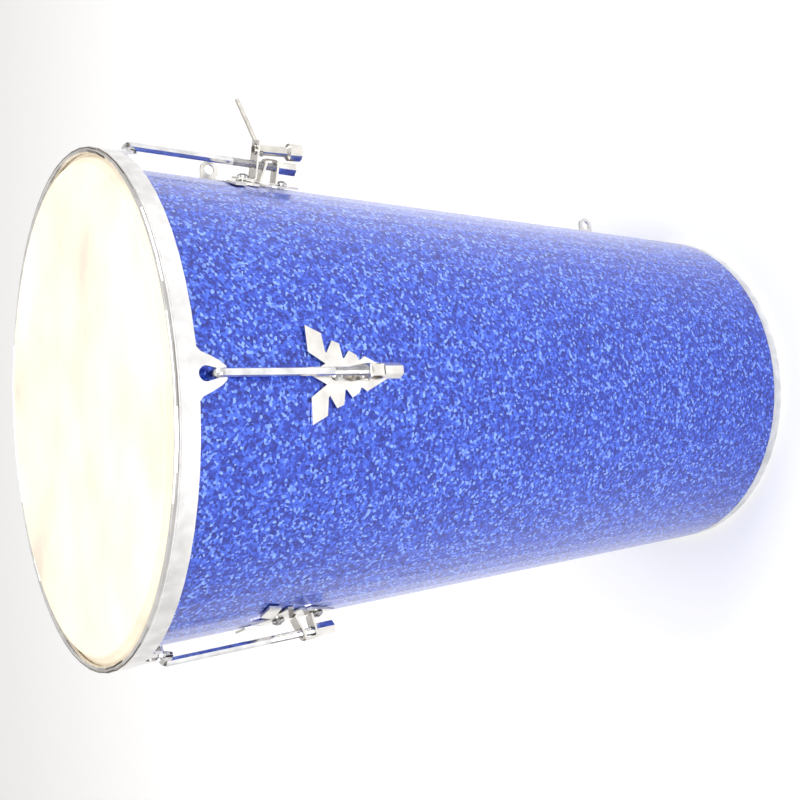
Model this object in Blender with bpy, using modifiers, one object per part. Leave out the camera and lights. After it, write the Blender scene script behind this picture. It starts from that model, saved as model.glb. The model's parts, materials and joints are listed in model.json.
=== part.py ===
"""Tantan: a long conical hand drum with a hide head, five hook rods on winged lugs and a stored tuning key.

Metres, +Z up. The open foot stands on z = 0, the shell's axis is the Z axis and lug 1 faces -Y.
"""
from math import atan, cos, pi, radians, sin, sqrt, tan, tau

import bmesh
import bpy
from mathutils import Matrix, Vector

for leftover in list(bpy.data.objects):
    bpy.data.objects.remove(leftover, do_unlink=True)

# Driving dimensions
MM = 0.001
GAP = 0.3 * MM
HEAD_DIAMETER = 304.8 * MM
FOOT_DIAMETER = 245.2 * MM
SHELL_HEIGHT = 503.9 * MM
SHELL_WALL = 7.0 * MM
BEARING_ROUND = 1.6 * MM
BEARING_BEVEL = 4.0 * MM
WRAP_THICKNESS = 0.8 * MM
WRAP_TOP_DROP = 8.9 * MM
RING_HEIGHT = 8.0 * MM
RING_WALL = 1.0 * MM
SKIN_THICKNESS = 0.8 * MM
COLLAR_CLEARANCE = 1.8 * MM
COLLAR_DROP = 12.8 * MM
FLESH_HOOP_WIDTH = 4.0 * MM
FLESH_HOOP_HEIGHT = 5.5 * MM
HOOP_THICKNESS = 1.8 * MM
HOOP_DROP = 14.8 * MM
BEAD_RADIUS = 2.1 * MM
BEAD_DROP = 2.7 * MM
EAR_LENGTH = 16.6 * MM
EAR_HALF_WIDTH = 14.5 * MM
LUG_COUNT = 5
LUG_HEIGHT = 386.0 * MM
ROD_DIAMETER = 5.0 * MM
ROD_STANDOFF = 13.35 * MM
ROD_END_IN_NUT = 8.5 * MM
HOOK_HEIGHT = 479.3 * MM
HOOK_REACH = 10.0 * MM
HOOK_BEND = 3.2 * MM
PLATE_THICKNESS = 1.5 * MM
PLATE_SLOPE = 0.0956
SCREW_DIAMETER = 4.0 * MM
SCREW_LENGTH = 18.0 * MM
SCREW_HEAD_DIAMETER = 8.0 * MM
SCREW_HEAD_HEIGHT = 2.6 * MM
SCREW_OFFSET = 14.0 * MM
SCREW_NUT_WIDTH = 7.0 * MM
SCREW_NUT_HEIGHT = 3.2 * MM
POST_THICKNESS = 1.5 * MM
POST_WIDTH = 9.0 * MM
POST_TOP = 18.5 * MM
POST_FOOT_FACE = -9.0 * MM
NUT_WIDTH = 8.0 * MM
NUT_LENGTH = 12.5 * MM
NUT_BORE = 5.8 * MM
KEY_LUG = 1
KEY_RADIUS = 169.9 * MM
KEY_BOTTOM = 360.0 * MM
KEY_LENGTH = 33.5 * MM
KEY_DIAMETER = 7.0 * MM
KEY_BORE = 4.4 * MM
SOCKET_DIAMETER = 11.5 * MM
SOCKET_HEIGHT = 9.5 * MM
SOCKET_WIDTH = 8.3 * MM
KEY_BAR_HEIGHT = 29.0 * MM
KEY_BAR_DIAMETER = 3.0 * MM
KEY_BAR_OUT = 52.5 * MM
KEY_BAR_IN = 5.0 * MM
KEY_BAR_ANGLE = radians(50.6)
HOLDER_THICKNESS = 1.2 * MM
HOLDER_WIDTH = 11.0 * MM
HOLDER_RISE_AT = 7.2 * MM
HOLDER_TOP = 29.0 * MM
BRACKET_THICKNESS = 1.5 * MM
BRACKET_TONGUE_WIDTH = 12.5 * MM
BRACKET_TONGUE_HEIGHT = 19.3 * MM
BRACKET_HOLE = 7.0 * MM
BRACKET_FOOT_LENGTH = 34.0 * MM
BRACKET_FOOT_WIDTH = 13.0 * MM
BRACKET_SCREW_SPACING = 22.0 * MM
BRACKETS = {"upper": (radians(90.0), 406.0 * MM), "lower": (radians(94.0), 67.0 * MM)}
ROUND_STEPS = 60
SMALL_STEPS = 20

# Sizes worked out from the driving dimensions
TAPER = (HEAD_DIAMETER - FOOT_DIAMETER) / 2 / SHELL_HEIGHT
LEAN = atan(TAPER)
HEAD_RADIUS = HEAD_DIAMETER / 2
WRAP_OFFSET = GAP + WRAP_THICKNESS
SKIN_TOP = SHELL_HEIGHT + GAP + SKIN_THICKNESS
COLLAR_INNER = HEAD_RADIUS + COLLAR_CLEARANCE
HOOK_INSIDE = COLLAR_INNER + SKIN_THICKNESS + GAP
FLESH_OUTER = HOOK_INSIDE + FLESH_HOOP_WIDTH
COLLAR_OUTER = FLESH_OUTER + GAP + SKIN_THICKNESS
COLLAR_BOTTOM = SHELL_HEIGHT - COLLAR_DROP
FLESH_BOTTOM = COLLAR_BOTTOM + SKIN_THICKNESS + GAP
FLESH_TOP = FLESH_BOTTOM + FLESH_HOOP_HEIGHT
HOOP_INNER = COLLAR_OUTER + GAP
HOOP_OUTER = HOOP_INNER + HOOP_THICKNESS
HOOP_BOTTOM = SHELL_HEIGHT - HOOP_DROP
BEAD_HEIGHT = SHELL_HEIGHT - BEAD_DROP
EAR_TIP = HOOP_BOTTOM - EAR_LENGTH
SCREW_HOLE = SCREW_DIAMETER + 2 * GAP
ROD_HOLE = ROD_DIAMETER + 1.0 * MM


def wood_radius(height):
    return FOOT_DIAMETER / 2 + TAPER * height


def wrap_radius(height):
    return wood_radius(height) + WRAP_OFFSET


PLATE_STANDOFF = GAP + wrap_radius(LUG_HEIGHT) * PLATE_SLOPE ** 2 / 2
PLATE_FACE = PLATE_STANDOFF + PLATE_THICKNESS
LUG_SEAT = PLATE_FACE + GAP
BRACKET_SEAT = BRACKET_THICKNESS + 2 * GAP
INNER_SEAT = -WRAP_OFFSET - SHELL_WALL - GAP - SCREW_NUT_WIDTH / sqrt(3) * tan(pi / ROUND_STEPS)

# Colour, metallic and roughness of each finish
FINISHES = {
    "shell_wood": ((0.55, 0.40, 0.24), 0.0, 0.6),
    "blue_glitter": ((0.03, 0.08, 0.55), 0.3, 0.3),
    "foot_metal": ((0.75, 0.76, 0.78), 1.0, 0.3),
    "hide": ((0.90, 0.83, 0.70), 0.0, 0.6),
    "chrome": ((0.78, 0.78, 0.78), 1.0, 0.12),
    "lug_chrome": ((0.74, 0.73, 0.71), 1.0, 0.16),
    "screw_steel": ((0.62, 0.62, 0.62), 1.0, 0.25),
    "key_steel": ((0.66, 0.64, 0.60), 1.0, 0.22),
}

parts = bpy.data.collections.new("tantan")
cutters = bpy.data.collections.new("tantan_cutters")
for collection in (parts, cutters):
    bpy.context.scene.collection.children.link(collection)


def make_finish(name):
    colour, metallic, roughness = FINISHES[name]
    finish = bpy.data.materials.new(name)
    finish.use_nodes = True
    shader = finish.node_tree.nodes["Principled BSDF"]
    shader.inputs["Base Color"].default_value = (*colour, 1.0)
    shader.inputs["Metallic"].default_value = metallic
    shader.inputs["Roughness"].default_value = roughness
    return finish


finishes = {name: make_finish(name) for name in FINISHES}


def add_part(name, mesh, finish, place=None):
    """Puts a mesh in the scene as one piece. Copies of a piece share their mesh."""
    if not mesh.materials:
        mesh.materials.append(finishes[finish])
        mesh.shade_smooth()
        mesh.set_sharp_from_angle(angle=radians(30))
    part = bpy.data.objects.new(name, mesh)
    parts.objects.link(part)
    part.matrix_world = place or Matrix.Identity(4)
    return part


def add_cutter(name, mesh, place=None):
    cutter = bpy.data.objects.new(name, mesh)
    cutters.objects.link(cutter)
    cutter.matrix_world = place or Matrix.Identity(4)
    cutter.hide_render = True
    cutter.display_type = "WIRE"
    return cutter


def settled_mesh(maker):
    """The evaluated mesh of an object, welded, in place of the object."""
    bpy.context.view_layer.update()
    evaluated = maker.evaluated_get(bpy.context.evaluated_depsgraph_get())
    mesh = bpy.data.meshes.new_from_object(evaluated)
    mesh.name = maker.name
    shape = bmesh.new()
    shape.from_mesh(mesh)
    bmesh.ops.remove_doubles(shape, verts=shape.verts, dist=0.001 * MM)
    bmesh.ops.recalc_face_normals(shape, faces=shape.faces)
    shape.to_mesh(mesh)
    shape.free()
    bpy.data.objects.remove(maker, do_unlink=True)
    return mesh


def boolean_mesh(name, mesh, cutter, operation="DIFFERENCE"):
    """The mesh with one cutter object taken out of it, joined to it or kept of it."""
    maker = bpy.data.objects.new(name, mesh)
    cutters.objects.link(maker)
    modifier = maker.modifiers.new(operation.lower(), "BOOLEAN")
    modifier.operation = operation
    modifier.solver = "EXACT"
    modifier.object = cutter
    return settled_mesh(maker)


def turned_mesh(name, profile, steps, closed=True):
    """A profile of (radius, height) points, down its outer side, turned about Z."""
    outline = bpy.data.meshes.new(name)
    points = [(radius, 0.0, height) for radius, height in profile]
    edges = [(index, index + 1) for index in range(len(points) - 1)]
    if closed:
        edges.append((len(points) - 1, 0))
    outline.from_pydata(points, edges, [])
    maker = bpy.data.objects.new(name, outline)
    cutters.objects.link(maker)
    screw = maker.modifiers.new("turn", "SCREW")
    screw.steps = steps
    screw.render_steps = steps
    screw.use_merge_vertices = True
    screw.merge_threshold = 0.00001
    return settled_mesh(maker)


def flat_mesh(name, outlines, thickness):
    """A flat outline with its holes, reaching half the thickness to each side of its plane."""
    curve = bpy.data.curves.new(name, "CURVE")
    curve.dimensions = "2D"
    curve.fill_mode = "BOTH"
    curve.extrude = thickness / 2
    for outline in outlines:
        spline = curve.splines.new("POLY")
        spline.points.add(len(outline) - 1)
        for point, (across, up) in zip(spline.points, outline):
            point.co = (across, up, 0.0, 1.0)
        spline.use_cyclic_u = True
    maker = bpy.data.objects.new(name, curve)
    cutters.objects.link(maker)
    return settled_mesh(maker)


def rod_mesh(name, path, diameter):
    curve = bpy.data.curves.new(name, "CURVE")
    curve.dimensions = "3D"
    curve.bevel_depth = diameter / 2
    curve.bevel_resolution = 2
    curve.use_fill_caps = True
    spline = curve.splines.new("POLY")
    spline.points.add(len(path) - 1)
    for point, place in zip(spline.points, path):
        point.co = (*place, 1.0)
    maker = bpy.data.objects.new(name, curve)
    cutters.objects.link(maker)
    return settled_mesh(maker)


def cylinder_mesh(name, diameter, length, sides=SMALL_STEPS):
    mesh = bpy.data.meshes.new(name)
    shape = bmesh.new()
    bmesh.ops.create_cone(
        shape, cap_ends=True, segments=sides, radius1=diameter / 2, radius2=diameter / 2, depth=length
    )
    shape.to_mesh(mesh)
    shape.free()
    return mesh


def joined_mesh(name, placed_meshes):
    """Several separate bodies in one mesh, to cut with together."""
    joined = bpy.data.meshes.new(name)
    shape = bmesh.new()
    for mesh, place in placed_meshes:
        copy = mesh.copy()
        copy.transform(place)
        shape.from_mesh(copy)
        bpy.data.meshes.remove(copy)
    shape.to_mesh(joined)
    shape.free()
    return joined


def arc(centre, radius, start, end, steps):
    """Points along a circle from one angle to another, both in degrees."""
    angles = [radians(start + (end - start) * step / steps) for step in range(steps + 1)]
    return [(centre[0] + radius * cos(angle), centre[1] + radius * sin(angle)) for angle in angles]


def circle(centre, diameter, steps=SMALL_STEPS):
    return arc(centre, diameter / 2, 0.0, 360.0, steps)[:-1]


def hexagon(width):
    return arc((0.0, 0.0), width / sqrt(3), 0.0, 360.0, 6)[:-1]


def bent_path(corners, radius, steps=3):
    """A path through its corners, each rounded to one bend radius."""
    corners = [Vector(corner) for corner in corners]
    path = [corners[0]]
    for before, corner, after in zip(corners, corners[1:], corners[2:]):
        arriving = (corner - before).normalized()
        leaving = (after - corner).normalized()
        turn = arriving.angle(leaving)
        setback = radius * tan(turn / 2)
        start = corner - arriving * setback
        inward = (leaving - arriving * arriving.dot(leaving)).normalized()
        centre = start + inward * radius
        for step in range(steps + 1):
            angle = turn * step / steps
            path.append(centre - inward * radius * cos(angle) + arriving * radius * sin(angle))
    path.append(corners[-1])
    return path


def strip_outline(path, thickness):
    """The closed outline of a bent strip about its centre line, mitred at each point."""
    left = []
    right = []
    last = len(path) - 1
    for index, point in enumerate(path):
        before = (point - path[max(index - 1, 0)])
        after = (path[min(index + 1, last)] - point)
        before = before.normalized() if index > 0 else after.normalized()
        after = after.normalized() if index < last else before
        along = (before + after).normalized()
        across = Vector((-along.y, along.x)) * (thickness / 2 / along.dot(after))
        left.append(point + across)
        right.append(point - across)
    return [tuple(point) for point in left + right[::-1]]


# Places on the drum. A wall place has X round the drum, Y up the shell and Z straight out of it.
def wall_place(angle, height):
    out_of_wall = Matrix.Rotation(LEAN + pi / 2, 4, "X")
    return Matrix.Rotation(angle, 4, "Z") @ Matrix.Translation((0.0, -wrap_radius(height), height)) @ out_of_wall


def upright_place(angle, radius, height=0.0):
    """X round the drum, Y straight up and Z level and outward."""
    facing = Matrix.Rotation(pi / 2, 4, "X")
    return Matrix.Rotation(angle, 4, "Z") @ Matrix.Translation((0.0, -radius, height)) @ facing


# Turns a flat shape drawn in XY so that its X runs up the shell, its Y outward and its thickness across
SIDEWAYS = Matrix(((0, 0, 1, 0), (1, 0, 0, 0), (0, 1, 0, 0), (0, 0, 0, 1)))
# Turns a shape drawn about Z so that its axis runs up the shell
ALONG_WALL = Matrix(((0, 1, 0, 0), (0, 0, 1, 0), (1, 0, 0, 0), (0, 0, 0, 1)))

lug_angles = [tau * index / LUG_COUNT for index in range(LUG_COUNT)]
lug_places = [wall_place(angle, LUG_HEIGHT) for angle in lug_angles]
lug_screws = {"upper": SCREW_OFFSET, "lower": -SCREW_OFFSET}
bracket_screws = {"top": BRACKET_SCREW_SPACING / 2, "bottom": -BRACKET_SCREW_SPACING / 2}


# Screws and nuts
def make_screw():
    rounding = arc((0.0, -SCREW_HEAD_DIAMETER * 0.35), SCREW_HEAD_DIAMETER * 0.35 + SCREW_HEAD_HEIGHT, 90, 48, 4)
    profile = [point for point in rounding if point[0] < SCREW_HEAD_DIAMETER / 2]
    profile[0] = (0.0, SCREW_HEAD_HEIGHT)
    profile += [
        (SCREW_HEAD_DIAMETER / 2, SCREW_HEAD_HEIGHT * 0.45),
        (SCREW_HEAD_DIAMETER / 2, 0.0),
        (SCREW_DIAMETER / 2, 0.0),
        (SCREW_DIAMETER / 2, -SCREW_LENGTH),
        (0.0, -SCREW_LENGTH),
    ]
    blank = turned_mesh("screw", profile, SMALL_STEPS, closed=False)
    slot_width = 0.45 * MM
    slot_reach = 2.2 * MM
    slot_depth = 1.2 * MM
    cross = []
    for quarter in range(4):
        turn = Matrix.Rotation(quarter * pi / 2, 2)
        arm = ((slot_width, slot_width), (slot_reach, slot_width), (slot_reach, -slot_width))
        cross = [tuple(turn @ Vector(point)) for point in arm[::-1]] + cross if False else cross + [
            tuple(turn @ Vector(point)) for point in ((slot_reach, -slot_width), (slot_reach, slot_width),
                                                      (slot_width, slot_width))
        ]
    recess = flat_mesh("screw_recess", [cross], 2 * slot_depth)
    return boolean_mesh("screw", blank, add_cutter("screw_recess", recess, Matrix.Translation((0, 0, SCREW_HEAD_HEIGHT))))


screw_mesh = make_screw()
screw_nut_mesh = flat_mesh("screw_nut", [hexagon(SCREW_NUT_WIDTH), circle((0, 0), SCREW_HOLE)], SCREW_NUT_HEIGHT)
holes = []


def add_screw(screw_name, nut_name, place, seat):
    """A screw from outside with its nut inside the shell, and their hole through the wall."""
    add_part(screw_name, screw_mesh, "screw_steel", place @ Matrix.Translation((0, 0, seat)))
    nut_centre = INNER_SEAT - SCREW_NUT_HEIGHT / 2
    add_part(nut_name, screw_nut_mesh, "screw_steel", place @ Matrix.Translation((0, 0, nut_centre)))
    holes.append(place @ Matrix.Translation((0, 0, -SHELL_WALL / 2)))


# Lugs: a winged plate, a folded post on it, a long nut and a hook rod
def make_lug_plate():
    half = [
        (-4.0, 32.5), (0.0, 32.5), (6.0, 21.0), (13.0, 31.5), (28.5, 31.3), (23.6, 21.2), (13.3, 20.2),
        (12.2, 19.3), (19.5, 14.8), (17.7, 10.0), (9.4, 8.9), (8.9, 8.0), (13.7, 4.1), (10.9, -0.8),
        (8.2, -2.0), (8.0, -2.8), (10.3, -6.1), (0.0, -27.0), (-4.0, -27.0),
    ]
    blank = flat_mesh("lug_plate", [[(across * MM, up * MM) for across, up in half]], PLATE_THICKNESS)
    slope = Matrix.Identity(4)
    slope[2][0] = -PLATE_SLOPE
    blank.transform(Matrix.Translation((0, 0, PLATE_STANDOFF + PLATE_THICKNESS / 2)) @ slope)
    maker = bpy.data.objects.new("lug_plate", blank)
    cutters.objects.link(maker)
    mirror = maker.modifiers.new("other_wing", "MIRROR")
    mirror.use_bisect_axis[0] = True
    mirror.merge_threshold = 0.00001
    plate = settled_mesh(maker)
    drill = cylinder_mesh("plate_drill", SCREW_HOLE, 4 * PLATE_THICKNESS)
    drills = [(drill, Matrix.Translation((0, offset, PLATE_FACE))) for offset in lug_screws.values()]
    return boolean_mesh("lug_plate", plate, add_cutter("plate_drills", joined_mesh("plate_drills", drills)))


def make_lug_post():
    fold_line = POST_TOP - POST_THICKNESS / 2
    corners = [
        (POST_FOOT_FACE + POST_THICKNESS / 2, LUG_SEAT),
        (POST_FOOT_FACE + POST_THICKNESS / 2, fold_line),
        (-0.3 * MM, fold_line),
        (3.25 * MM, LUG_SEAT),
    ]
    strap = flat_mesh("lug_post", [strip_outline(bent_path(corners, 1.6 * MM), POST_THICKNESS)], POST_WIDTH)
    strap.transform(SIDEWAYS)
    round_top = arc((0.0, POST_TOP - POST_WIDTH / 2), POST_WIDTH / 2, 0.0, 180.0, 10)
    face = [(POST_WIDTH / 2, 0.0)] + round_top + [(-POST_WIDTH / 2, 0.0)]
    envelope = flat_mesh("post_envelope", [face, circle((0.0, ROD_STANDOFF), ROD_HOLE)], 60 * MM)
    lying = Matrix(((1, 0, 0, 0), (0, 0, 1, 0), (0, 1, 0, 0), (0, 0, 0, 1)))
    envelope.transform(lying)
    envelope.flip_normals()
    return boolean_mesh("lug_post", strap, add_cutter("post_envelope", envelope), "INTERSECT")


def make_hook_rod():
    """The rod lies along its own Z, with its hook reaching in over the shell. Its origin is at lug height."""
    hook_level = (HOOK_HEIGHT - LUG_HEIGHT) / cos(LEAN) + ROD_STANDOFF * tan(LEAN)
    lower_end = POST_FOOT_FACE - GAP - ROD_END_IN_NUT
    corners = [(lower_end, 0.0), (hook_level, 0.0), (hook_level, -HOOK_REACH)]
    return rod_mesh("hook_rod", [(outward, 0.0, up) for up, outward in bent_path(corners, HOOK_BEND, 5)], ROD_DIAMETER)


lug_plate_mesh = make_lug_plate()
lug_post_mesh = make_lug_post()
hook_rod_mesh = make_hook_rod()
nut_mesh = flat_mesh("tension_nut", [hexagon(NUT_WIDTH), circle((0, 0), NUT_BORE)], NUT_LENGTH)

for index, place in enumerate(lug_places):
    number = index + 1
    rod_line = place @ Matrix.Translation((0, 0, ROD_STANDOFF)) @ ALONG_WALL
    nut_centre = POST_FOOT_FACE - GAP - NUT_LENGTH / 2
    flats_out = Matrix.Rotation(pi / 6, 4, "Z")
    add_part(f"lug_plate_{number}", lug_plate_mesh, "lug_chrome", place)
    add_part(f"lug_post_{number}", lug_post_mesh, "lug_chrome", place)
    add_part(f"hook_rod_{number}", hook_rod_mesh, "chrome", rod_line)
    nut_place = rod_line @ Matrix.Translation((0, 0, nut_centre)) @ flats_out
    add_part(f"tension_nut_{number}", nut_mesh, "lug_chrome", nut_place)
    for level, offset in lug_screws.items():
        seat = LUG_SEAT
        if index == KEY_LUG and level == "upper":
            seat += HOLDER_THICKNESS + GAP
        screw_place = place @ Matrix.Translation((0, offset, 0))
        add_screw(f"lug_screw_{level}_{number}", f"lug_nut_{level}_{number}", screw_place, seat)


# Strap brackets
def make_strap_bracket():
    tongue_side = -BRACKET_FOOT_WIDTH / 2
    head_centre = BRACKET_TONGUE_HEIGHT - BRACKET_TONGUE_WIDTH / 2
    half_tongue = BRACKET_TONGUE_WIDTH / 2
    tongue = [(-half_tongue, GAP), (half_tongue, GAP)] + arc((0.0, head_centre), half_tongue, 0.0, 180.0, 12)
    outline = [tongue, circle((0.0, head_centre), BRACKET_HOLE)]
    upright = flat_mesh("bracket_tongue", outline, BRACKET_THICKNESS)
    upright.transform(Matrix.Translation((tongue_side + BRACKET_THICKNESS / 2, 0, 0)) @ SIDEWAYS)
    half_length = BRACKET_FOOT_LENGTH / 2
    half_width = BRACKET_FOOT_WIDTH / 2
    corners = ((-half_width, -half_length), (half_width, -half_length), (half_width, half_length), (-half_width, half_length))
    screw_holes = [circle((0.0, offset), SCREW_HOLE) for offset in bracket_screws.values()]
    foot = flat_mesh("bracket_foot", [corners, *screw_holes], BRACKET_THICKNESS)
    foot_place = Matrix.Translation((0, 0, GAP + BRACKET_THICKNESS / 2))
    return boolean_mesh("strap_bracket", upright, add_cutter("bracket_foot", foot, foot_place), "UNION")


strap_bracket_mesh = make_strap_bracket()
for name, (angle, height) in BRACKETS.items():
    place = wall_place(angle, height)
    add_part(f"strap_bracket_{name}", strap_bracket_mesh, "lug_chrome", place)
    for end, offset in bracket_screws.items():
        screw_place = place @ Matrix.Translation((0, offset, 0))
        add_screw(f"strap_screw_{name}_{end}", f"strap_nut_{name}_{end}", screw_place, BRACKET_SEAT)

# Shell, its wrap and the ring on its foot
drill_mesh = cylinder_mesh("wall_drill", SCREW_HOLE, 4 * SHELL_WALL)
wall_drills = add_cutter("wall_drills", joined_mesh("wall_drills", [(drill_mesh, place) for place in holes]))

wood_foot = RING_WALL + GAP
shell_profile = [
    (HEAD_RADIUS - BEARING_ROUND, SHELL_HEIGHT),
    (wood_radius(SHELL_HEIGHT - BEARING_ROUND), SHELL_HEIGHT - BEARING_ROUND),
    (wood_radius(wood_foot), wood_foot),
    (wood_radius(wood_foot) - SHELL_WALL, wood_foot),
    (wood_radius(SHELL_HEIGHT - BEARING_BEVEL) - SHELL_WALL, SHELL_HEIGHT - BEARING_BEVEL),
    (HEAD_RADIUS - SHELL_WALL + BEARING_BEVEL, SHELL_HEIGHT),
]
add_part("shell", boolean_mesh("shell", turned_mesh("shell", shell_profile, ROUND_STEPS), wall_drills), "shell_wood")

wrap_top = SHELL_HEIGHT - WRAP_TOP_DROP
wrap_bottom = RING_HEIGHT + GAP
wrap_profile = [
    (wrap_radius(wrap_top), wrap_top),
    (wrap_radius(wrap_bottom), wrap_bottom),
    (wood_radius(wrap_bottom) + GAP, wrap_bottom),
    (wood_radius(wrap_top) + GAP, wrap_top),
]
wrap_blank = turned_mesh("shell_wrap", wrap_profile, ROUND_STEPS)
add_part("shell_wrap", boolean_mesh("shell_wrap", wrap_blank, wall_drills), "blue_glitter")

ring_inner = SHELL_WALL + GAP
ring_profile = [
    (wrap_radius(RING_HEIGHT), RING_HEIGHT),
    (wrap_radius(0.0), 0.0),
    (wood_radius(0.0) - ring_inner - RING_WALL, 0.0),
    (wood_radius(RING_HEIGHT) - ring_inner - RING_WALL, RING_HEIGHT),
    (wood_radius(RING_HEIGHT) - ring_inner, RING_HEIGHT),
    (wood_radius(RING_WALL) - ring_inner, RING_WALL),
    (wood_radius(RING_WALL) + GAP, RING_WALL),
    (wood_radius(RING_HEIGHT) + GAP, RING_HEIGHT),
]
add_part("foot_ring", turned_mesh("foot_ring", ring_profile, ROUND_STEPS), "foot_metal")

# Hide head, lapped round its flesh hoop
shoulder = 6.0 * MM
edge_drop = 0.6 * MM
skin_profile = [
    (0.0, SKIN_TOP),
    (HEAD_RADIUS - 0.3 * MM, SKIN_TOP),
    (HEAD_RADIUS + 1.2 * MM, SKIN_TOP - edge_drop),
    (HEAD_RADIUS + shoulder, FLESH_TOP + GAP + SKIN_THICKNESS + 0.2 * MM),
    (COLLAR_OUTER, FLESH_TOP + GAP + SKIN_THICKNESS - 0.2 * MM),
    (COLLAR_OUTER, COLLAR_BOTTOM),
    (COLLAR_INNER, COLLAR_BOTTOM),
    (COLLAR_INNER, FLESH_TOP - 1.2 * MM),
    (COLLAR_INNER + SKIN_THICKNESS, FLESH_TOP - 1.2 * MM),
    (COLLAR_INNER + SKIN_THICKNESS, COLLAR_BOTTOM + SKIN_THICKNESS),
    (COLLAR_OUTER - SKIN_THICKNESS, COLLAR_BOTTOM + SKIN_THICKNESS),
    (COLLAR_OUTER - SKIN_THICKNESS, FLESH_TOP + GAP),
    (HEAD_RADIUS + shoulder - 0.5 * MM, FLESH_TOP + GAP),
    (HEAD_RADIUS + 0.6 * MM, SKIN_TOP - SKIN_THICKNESS - edge_drop),
    (HEAD_RADIUS - 0.5 * MM, SKIN_TOP - SKIN_THICKNESS),
    (0.0, SKIN_TOP - SKIN_THICKNESS),
]
add_part("drum_skin", turned_mesh("drum_skin", skin_profile, ROUND_STEPS, closed=False), "hide")

flesh_profile = [
    (FLESH_OUTER, FLESH_TOP),
    (FLESH_OUTER, FLESH_BOTTOM),
    (HOOK_INSIDE, FLESH_BOTTOM),
    (HOOK_INSIDE, FLESH_TOP),
]
add_part("flesh_hoop", turned_mesh("flesh_hoop", flesh_profile, ROUND_STEPS), "shell_wood")


# Counter hoop: a beaded band with an ear over each lug
def make_counter_hoop():
    bead_centre = HOOP_INNER + 0.5 * MM
    outer_meet = -radians(0) + -51.8
    inner_meet = -103.8
    bead_outside = arc((bead_centre, BEAD_HEIGHT), BEAD_RADIUS, 90.0, outer_meet, 6)
    bead_inside = arc((bead_centre, BEAD_HEIGHT), BEAD_RADIUS, inner_meet, inner_meet - 120.0, 4)
    blank_bottom = EAR_TIP - 1.0 * MM
    band = [(HOOP_OUTER, blank_bottom), (HOOP_INNER, blank_bottom)]
    blank = turned_mesh("counter_hoop", bead_outside + band + bead_inside, ROUND_STEPS)
    across = EAR_HALF_WIDTH
    half_ear = [
        (across + 2 * MM, HOOP_BOTTOM + 4 * MM), (across + 2 * MM, HOOP_BOTTOM), (across, HOOP_BOTTOM),
        (12 * MM, HOOP_BOTTOM - 2.1 * MM), (9.5 * MM, HOOP_BOTTOM - 7.6 * MM), (6.5 * MM, HOOP_BOTTOM - 12.9 * MM),
        (4 * MM, HOOP_BOTTOM - 15.7 * MM), (1.5 * MM, EAR_TIP),
    ]
    ear = half_ear + [(-side, up) for side, up in half_ear[::-1]]
    ear_mesh = flat_mesh("ear", [ear], 20 * MM)
    slot_low = ROD_DIAMETER / 2 + GAP + 0.1 * MM
    slot_high = 4.3 * MM
    slot_rise = 5.4 * MM
    teardrop = arc((0.0, HOOK_HEIGHT + 0.1 * MM), slot_low, 190.0, 350.0, 8)
    teardrop += arc((0.0, HOOK_HEIGHT + slot_rise), slot_high, -10.0, 190.0, 10)
    teardrop_mesh = flat_mesh("teardrop", [teardrop], 20 * MM)
    middle = (HOOP_INNER + HOOP_OUTER) / 2
    ear_places = [upright_place(angle, middle) for angle in lug_angles]
    ears = add_cutter("ears", joined_mesh("ears", [(ear_mesh, place) for place in ear_places]))
    teardrops = add_cutter("teardrops", joined_mesh("teardrops", [(teardrop_mesh, place) for place in ear_places]))
    margin = 3 * MM
    waste_profile = [
        (HOOP_OUTER + margin, HOOP_BOTTOM),
        (HOOP_OUTER + margin, blank_bottom - margin),
        (HOOP_INNER - margin, blank_bottom - margin),
        (HOOP_INNER - margin, HOOP_BOTTOM),
    ]
    waste_ring = turned_mesh("hoop_waste", waste_profile, ROUND_STEPS)
    waste = add_cutter("hoop_waste", boolean_mesh("hoop_waste", waste_ring, ears))
    return boolean_mesh("counter_hoop", boolean_mesh("counter_hoop", blank, waste), teardrops)


add_part("counter_hoop", make_counter_hoop(), "chrome")


# Tuning key in its holder on one lug
def make_key_tube():
    profile = [
        (KEY_DIAMETER / 2, KEY_LENGTH),
        (KEY_DIAMETER / 2, SOCKET_HEIGHT + 1.0 * MM),
        (SOCKET_DIAMETER / 2, SOCKET_HEIGHT - 1.0 * MM),
        (SOCKET_DIAMETER / 2, 0.0),
        (KEY_BORE / 2, 0.0),
        (KEY_BORE / 2, KEY_LENGTH),
    ]
    blank = turned_mesh("key_tube", profile, SMALL_STEPS)
    socket = flat_mesh("key_socket", [hexagon(SOCKET_WIDTH)], 2 * (SOCKET_HEIGHT - 1.0 * MM))
    bored = boolean_mesh("key_tube", blank, add_cutter("key_socket", socket))
    cross_drill = cylinder_mesh("key_cross_drill", KEY_BAR_DIAMETER + 2 * GAP, 4 * KEY_DIAMETER)
    cross_place = Matrix.Translation((0, 0, KEY_BAR_HEIGHT)) @ bar_turn
    return boolean_mesh("key_tube", bored, add_cutter("key_cross_drill", cross_drill, cross_place))


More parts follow.
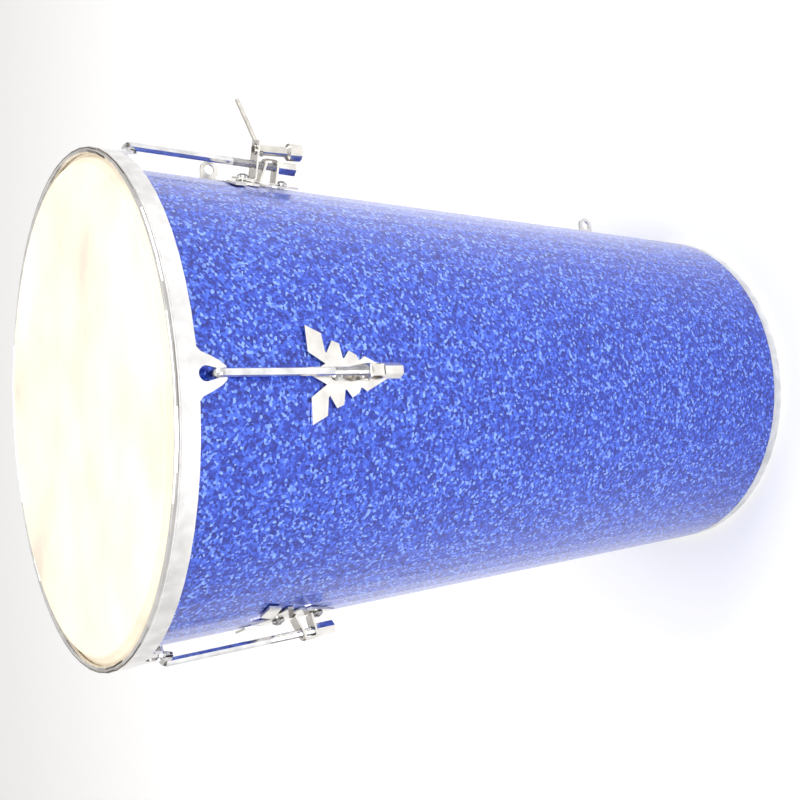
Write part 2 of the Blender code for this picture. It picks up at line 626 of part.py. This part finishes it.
def make_key_holder():
    foot_line = LUG_SEAT + HOLDER_THICKNESS / 2
    corners = [(SCREW_OFFSET + 5.5 * MM, foot_line), (HOLDER_RISE_AT, foot_line), (HOLDER_RISE_AT, HOLDER_TOP)]
    strip = flat_mesh("key_holder", [strip_outline(bent_path(corners, 1.5 * MM), HOLDER_THICKNESS)], HOLDER_WIDTH)
    strip.transform(SIDEWAYS)
    key_out = (KEY_RADIUS - wrap_radius(LUG_HEIGHT) - HOLDER_RISE_AT * sin(LEAN)) / cos(LEAN)
    along = Matrix.Rotation(pi / 2, 4, "X")
    reach = 4 * HOLDER_THICKNESS
    drills = [
        (cylinder_mesh("rod_drill", ROD_HOLE, reach), Matrix.Translation((0, HOLDER_RISE_AT, ROD_STANDOFF)) @ along),
        (cylinder_mesh("tube_drill", KEY_DIAMETER + 3 * GAP, reach),
         Matrix.Translation((0, HOLDER_RISE_AT, key_out)) @ along),
        (cylinder_mesh("screw_drill", SCREW_HOLE, reach), Matrix.Translation((0, SCREW_OFFSET, foot_line))),
    ]
    return boolean_mesh("key_holder", strip, add_cutter("holder_drills", joined_mesh("holder_drills", drills)))


# The bar's own Z lies level, turned from straight out toward the next lug
bar_turn = Matrix.Rotation(KEY_BAR_ANGLE, 4, "Z") @ Matrix.Rotation(pi / 2, 4, "X")
key_place = Matrix.Rotation(lug_angles[KEY_LUG], 4, "Z") @ Matrix.Translation((0, -KEY_RADIUS, KEY_BOTTOM))
add_part("key_tube", make_key_tube(), "key_steel", key_place)
add_part("key_holder", make_key_holder(), "lug_chrome", lug_places[KEY_LUG])

bar_radius = KEY_BAR_DIAMETER / 2
bar_profile = [
    (0.0, KEY_BAR_OUT),
    (bar_radius * 0.7, KEY_BAR_OUT - 0.4 * MM),
    (bar_radius, KEY_BAR_OUT - 1.2 * MM),
    (bar_radius, -KEY_BAR_IN),
    (0.0, -KEY_BAR_IN),
]
bar_place = key_place @ Matrix.Translation((0, 0, KEY_BAR_HEIGHT)) @ bar_turn
add_part("key_bar", turned_mesh("key_bar", bar_profile, SMALL_STEPS, closed=False), "key_steel", bar_place)
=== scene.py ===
"""Looks of the tantan: finishes, floor, lights and the photograph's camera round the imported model."""
import json

import bpy
from mathutils import Matrix, Vector

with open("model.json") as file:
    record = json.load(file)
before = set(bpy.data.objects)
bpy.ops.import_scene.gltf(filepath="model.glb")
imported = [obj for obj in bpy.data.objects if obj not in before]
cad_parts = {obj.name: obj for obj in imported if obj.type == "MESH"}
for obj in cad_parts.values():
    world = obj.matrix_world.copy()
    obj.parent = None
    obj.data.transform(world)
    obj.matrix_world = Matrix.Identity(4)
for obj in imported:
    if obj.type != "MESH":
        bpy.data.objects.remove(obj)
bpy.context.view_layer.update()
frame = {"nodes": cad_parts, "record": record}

# Camera, in metres, fitted to the photograph: its right runs down the drum
CAMERA_PLACE = Vector((-0.0789, -0.7422, 0.7310))
CAMERA_RIGHT = Vector((-0.09034, -0.52220, -0.84802))
CAMERA_UP = Vector((0.99190, -0.12347, -0.02963))
CAMERA_AHEAD = Vector((0.08924, 0.84383, -0.52914))
CAMERA_LENS = 54.0
CAMERA_SENSOR = 36.0

GLITTER_FLAKES_PER_METRE = 620.0
THREAD_PITCH = 0.0008
THREAD_TOP = 0.408
FLOOR_SIZE = 8.0


def new_finish(name, metallic, roughness):
    finish = bpy.data.materials.new(name)
    finish.use_nodes = True
    shader = finish.node_tree.nodes["Principled BSDF"]
    shader.inputs["Metallic"].default_value = metallic
    shader.inputs["Roughness"].default_value = roughness
    return finish, finish.node_tree, shader


def add_node(tree, kind, **settings):
    node = tree.nodes.new(kind)
    for name, value in settings.items():
        setattr(node, name, value)
    return node


def add_ramp(tree, factor, stops):
    """A colour ramp through (position, colour) stops, fed by one value."""
    ramp = add_node(tree, "ShaderNodeValToRGB")
    elements = ramp.color_ramp.elements
    elements[0].position, elements[0].color = stops[0][0], (*stops[0][1], 1.0)
    elements[1].position, elements[1].color = stops[-1][0], (*stops[-1][1], 1.0)
    for position, colour in stops[1:-1]:
        elements.new(position).color = (*colour, 1.0)
    tree.links.new(factor, ramp.inputs["Fac"])
    return ramp.outputs["Color"]


def add_noise(tree, scale, detail=4.0):
    place = add_node(tree, "ShaderNodeTexCoord")
    noise = add_node(tree, "ShaderNodeTexNoise")
    noise.inputs["Scale"].default_value = scale
    noise.inputs["Detail"].default_value = detail
    tree.links.new(place.outputs["Object"], noise.inputs["Vector"])
    return noise.outputs["Fac"]


def add_bump(tree, shader, height, distance, strength=0.4):
    bump = add_node(tree, "ShaderNodeBump")
    bump.inputs["Distance"].default_value = distance
    bump.inputs["Strength"].default_value = strength
    tree.links.new(height, bump.inputs["Height"])
    tree.links.new(bump.outputs["Normal"], shader.inputs["Normal"])
    return bump


def make_metal(name, dark, light, roughness):
    finish, tree, shader = new_finish(name, 1.0, roughness)
    cloud = add_noise(tree, 90.0)
    tree.links.new(add_ramp(tree, cloud, [(0.35, dark), (0.65, light)]), shader.inputs["Base Color"])
    add_bump(tree, shader, add_noise(tree, 260.0), 0.00003, 0.15)
    return finish


def make_rod_metal():
    """Bright plated rod, with its thread as bump rings below the thread's top."""
    finish, tree, shader = new_finish("rod_chrome", 1.0, 0.16)
    place = add_node(tree, "ShaderNodeTexCoord")
    split = add_node(tree, "ShaderNodeSeparateXYZ")
    tree.links.new(place.outputs["Object"], split.inputs["Vector"])
    below = add_node(tree, "ShaderNodeMath", operation="LESS_THAN")
    below.inputs[1].default_value = THREAD_TOP
    turns = add_node(tree, "ShaderNodeMath", operation="PINGPONG")
    turns.inputs[1].default_value = THREAD_PITCH / 2
    rings = add_node(tree, "ShaderNodeMath", operation="MULTIPLY")
    tree.links.new(split.outputs["Z"], below.inputs[0])
    tree.links.new(split.outputs["Z"], turns.inputs[0])
    tree.links.new(turns.outputs[0], rings.inputs[0])
    tree.links.new(below.outputs[0], rings.inputs[1])
    add_bump(tree, shader, rings.outputs[0], 1.0, 0.6)
    tone = add_ramp(tree, add_noise(tree, 120.0), [(0.35, (0.55, 0.55, 0.56)), (0.65, (0.74, 0.74, 0.75))])
    tree.links.new(tone, shader.inputs["Base Color"])
    return finish


def make_glitter():
    finish, tree, shader = new_finish("blue_glitter", 0.45, 0.3)
    place = add_node(tree, "ShaderNodeTexCoord")
    flakes = add_node(tree, "ShaderNodeTexVoronoi")
    flakes.inputs["Scale"].default_value = GLITTER_FLAKES_PER_METRE
    tree.links.new(place.outputs["Object"], flakes.inputs["Vector"])
    spark = add_node(tree, "ShaderNodeSeparateColor")
    tree.links.new(flakes.outputs["Color"], spark.inputs["Color"])
    stops = [
        (0.0, (0.004, 0.012, 0.22)),
        (0.45, (0.015, 0.05, 0.50)),
        (0.8, (0.05, 0.14, 0.80)),
        (1.0, (0.25, 0.42, 1.0)),
    ]
    tree.links.new(add_ramp(tree, spark.outputs["Red"], stops), shader.inputs["Base Color"])
    add_bump(tree, shader, spark.outputs["Green"], 0.0002, 0.5)
    shader.inputs["Coat Weight"].default_value = 0.6
    shader.inputs["Coat Roughness"].default_value = 0.12
    return finish


def make_hide():
    finish, tree, shader = new_finish("hide", 0.0, 0.55)
    stops = [(0.25, (0.62, 0.55, 0.46)), (0.5, (0.88, 0.77, 0.60)), (0.75, (0.95, 0.87, 0.72))]
    tree.links.new(add_ramp(tree, add_noise(tree, 14.0, 8.0), stops), shader.inputs["Base Color"])
    add_bump(tree, shader, add_noise(tree, 320.0, 6.0), 0.0002, 0.3)
    return finish


def make_wood():
    finish, tree, shader = new_finish("shell_wood", 0.0, 0.6)
    place = add_node(tree, "ShaderNodeTexCoord")
    stretch = add_node(tree, "ShaderNodeMapping")
    stretch.inputs["Scale"].default_value = (60.0, 60.0, 4.0)
    grain = add_node(tree, "ShaderNodeTexNoise")
    grain.inputs["Scale"].default_value = 2.0
    tree.links.new(place.outputs["Object"], stretch.inputs["Vector"])
    tree.links.new(stretch.outputs["Vector"], grain.inputs["Vector"])
    stops = [(0.3, (0.36, 0.23, 0.12)), (0.7, (0.62, 0.45, 0.27))]
    tree.links.new(add_ramp(tree, grain.outputs["Fac"], stops), shader.inputs["Base Color"])
    add_bump(tree, shader, grain.outputs["Fac"], 0.0003, 0.3)
    return finish


FINISHES = {
    "shell_wood": make_wood(),
    "blue_glitter": make_glitter(),
    "foot_metal": make_metal("foot_metal", (0.62, 0.63, 0.65), (0.80, 0.81, 0.83), 0.28),
    "hide": make_hide(),
    "chrome": make_metal("hoop_chrome", (0.66, 0.65, 0.64), (0.82, 0.81, 0.80), 0.10),
    "lug_chrome": make_metal("lug_chrome", (0.60, 0.58, 0.55), (0.76, 0.74, 0.71), 0.17),
    "screw_steel": make_metal("screw_steel", (0.46, 0.46, 0.46), (0.66, 0.66, 0.66), 0.25),
    "key_steel": make_metal("key_steel", (0.50, 0.48, 0.44), (0.70, 0.68, 0.63), 0.24),
}
rod_finish = make_rod_metal()
slots = {entry["node"]: entry["material_slot"] for entry in frame["record"]["subparts"]}
for name, piece in frame["nodes"].items():
    finish = rod_finish if name.startswith("hook_rod") else FINISHES[slots[name]]
    piece.data.materials.clear()
    piece.data.materials.append(finish)


def make_floor():
    bpy.ops.mesh.primitive_plane_add(size=FLOOR_SIZE)
    floor = bpy.context.object
    floor.name = "floor"
    finish, tree, shader = new_finish("floor", 0.0, 0.9)
    shader.inputs["Base Color"].default_value = (0.95, 0.95, 0.95, 1.0)
    floor.data.materials.append(finish)


def make_world():
    """White to the camera, and a soft room with a darker low band for the bright metal to reflect."""
    world = bpy.data.worlds.new("studio")
    bpy.context.scene.world = world
    world.use_nodes = True
    tree = world.node_tree
    background = tree.nodes["Background"]
    place = add_node(tree, "ShaderNodeTexCoord")
    split = add_node(tree, "ShaderNodeSeparateXYZ")
    tree.links.new(place.outputs["Generated"], split.inputs["Vector"])
    stops = [(0.0, (0.30, 0.24, 0.19)), (0.12, (0.12, 0.10, 0.09)), (0.3, (0.8, 0.78, 0.76)), (1.0, (1.0, 1.0, 1.0))]
    room = add_ramp(tree, split.outputs["Z"], stops)
    path = add_node(tree, "ShaderNodeLightPath")
    mix = add_node(tree, "ShaderNodeMix", data_type="RGBA")
    mix.inputs[7].default_value = (1.0, 1.0, 1.0, 1.0)
    tree.links.new(path.outputs["Is Camera Ray"], mix.inputs[0])
    tree.links.new(room, mix.inputs[6])
    tree.links.new(mix.outputs[2], background.inputs["Color"])
    background.inputs["Strength"].default_value = 0.9


def add_softbox(name, place, aim, size, power):
    data = bpy.data.lights.new(name, "AREA")
    data.shape = "SQUARE"
    data.size = size
    data.energy = power
    light = bpy.data.objects.new(name, data)
    bpy.context.scene.collection.objects.link(light)
    light.location = place
    light.rotation_euler = (Vector(aim) - Vector(place)).to_track_quat("-Z", "Y").to_euler()


def make_camera():
    data = bpy.data.cameras.new("camera")
    data.lens = CAMERA_LENS
    data.sensor_width = CAMERA_SENSOR
    camera = bpy.data.objects.new("camera", data)
    bpy.context.scene.collection.objects.link(camera)
    turn = Matrix((CAMERA_RIGHT, CAMERA_UP, -CAMERA_AHEAD)).transposed().to_4x4()
    camera.matrix_world = Matrix.Translation(CAMERA_PLACE) @ turn
    bpy.context.scene.camera = camera


make_floor()
make_world()
add_softbox("front_softbox", (-0.6, -1.6, 1.3), (0.0, 0.0, 0.3), 0.9, 16.0)
add_softbox("right_softbox", (1.5, -0.6, 1.2), (0.0, 0.0, 0.3), 1.0, 12.0)
add_softbox("top_softbox", (0.0, 0.3, 2.0), (0.0, 0.0, 0.3), 1.4, 14.0)
make_camera()
bpy.context.scene.view_settings.view_transform = "Standard"
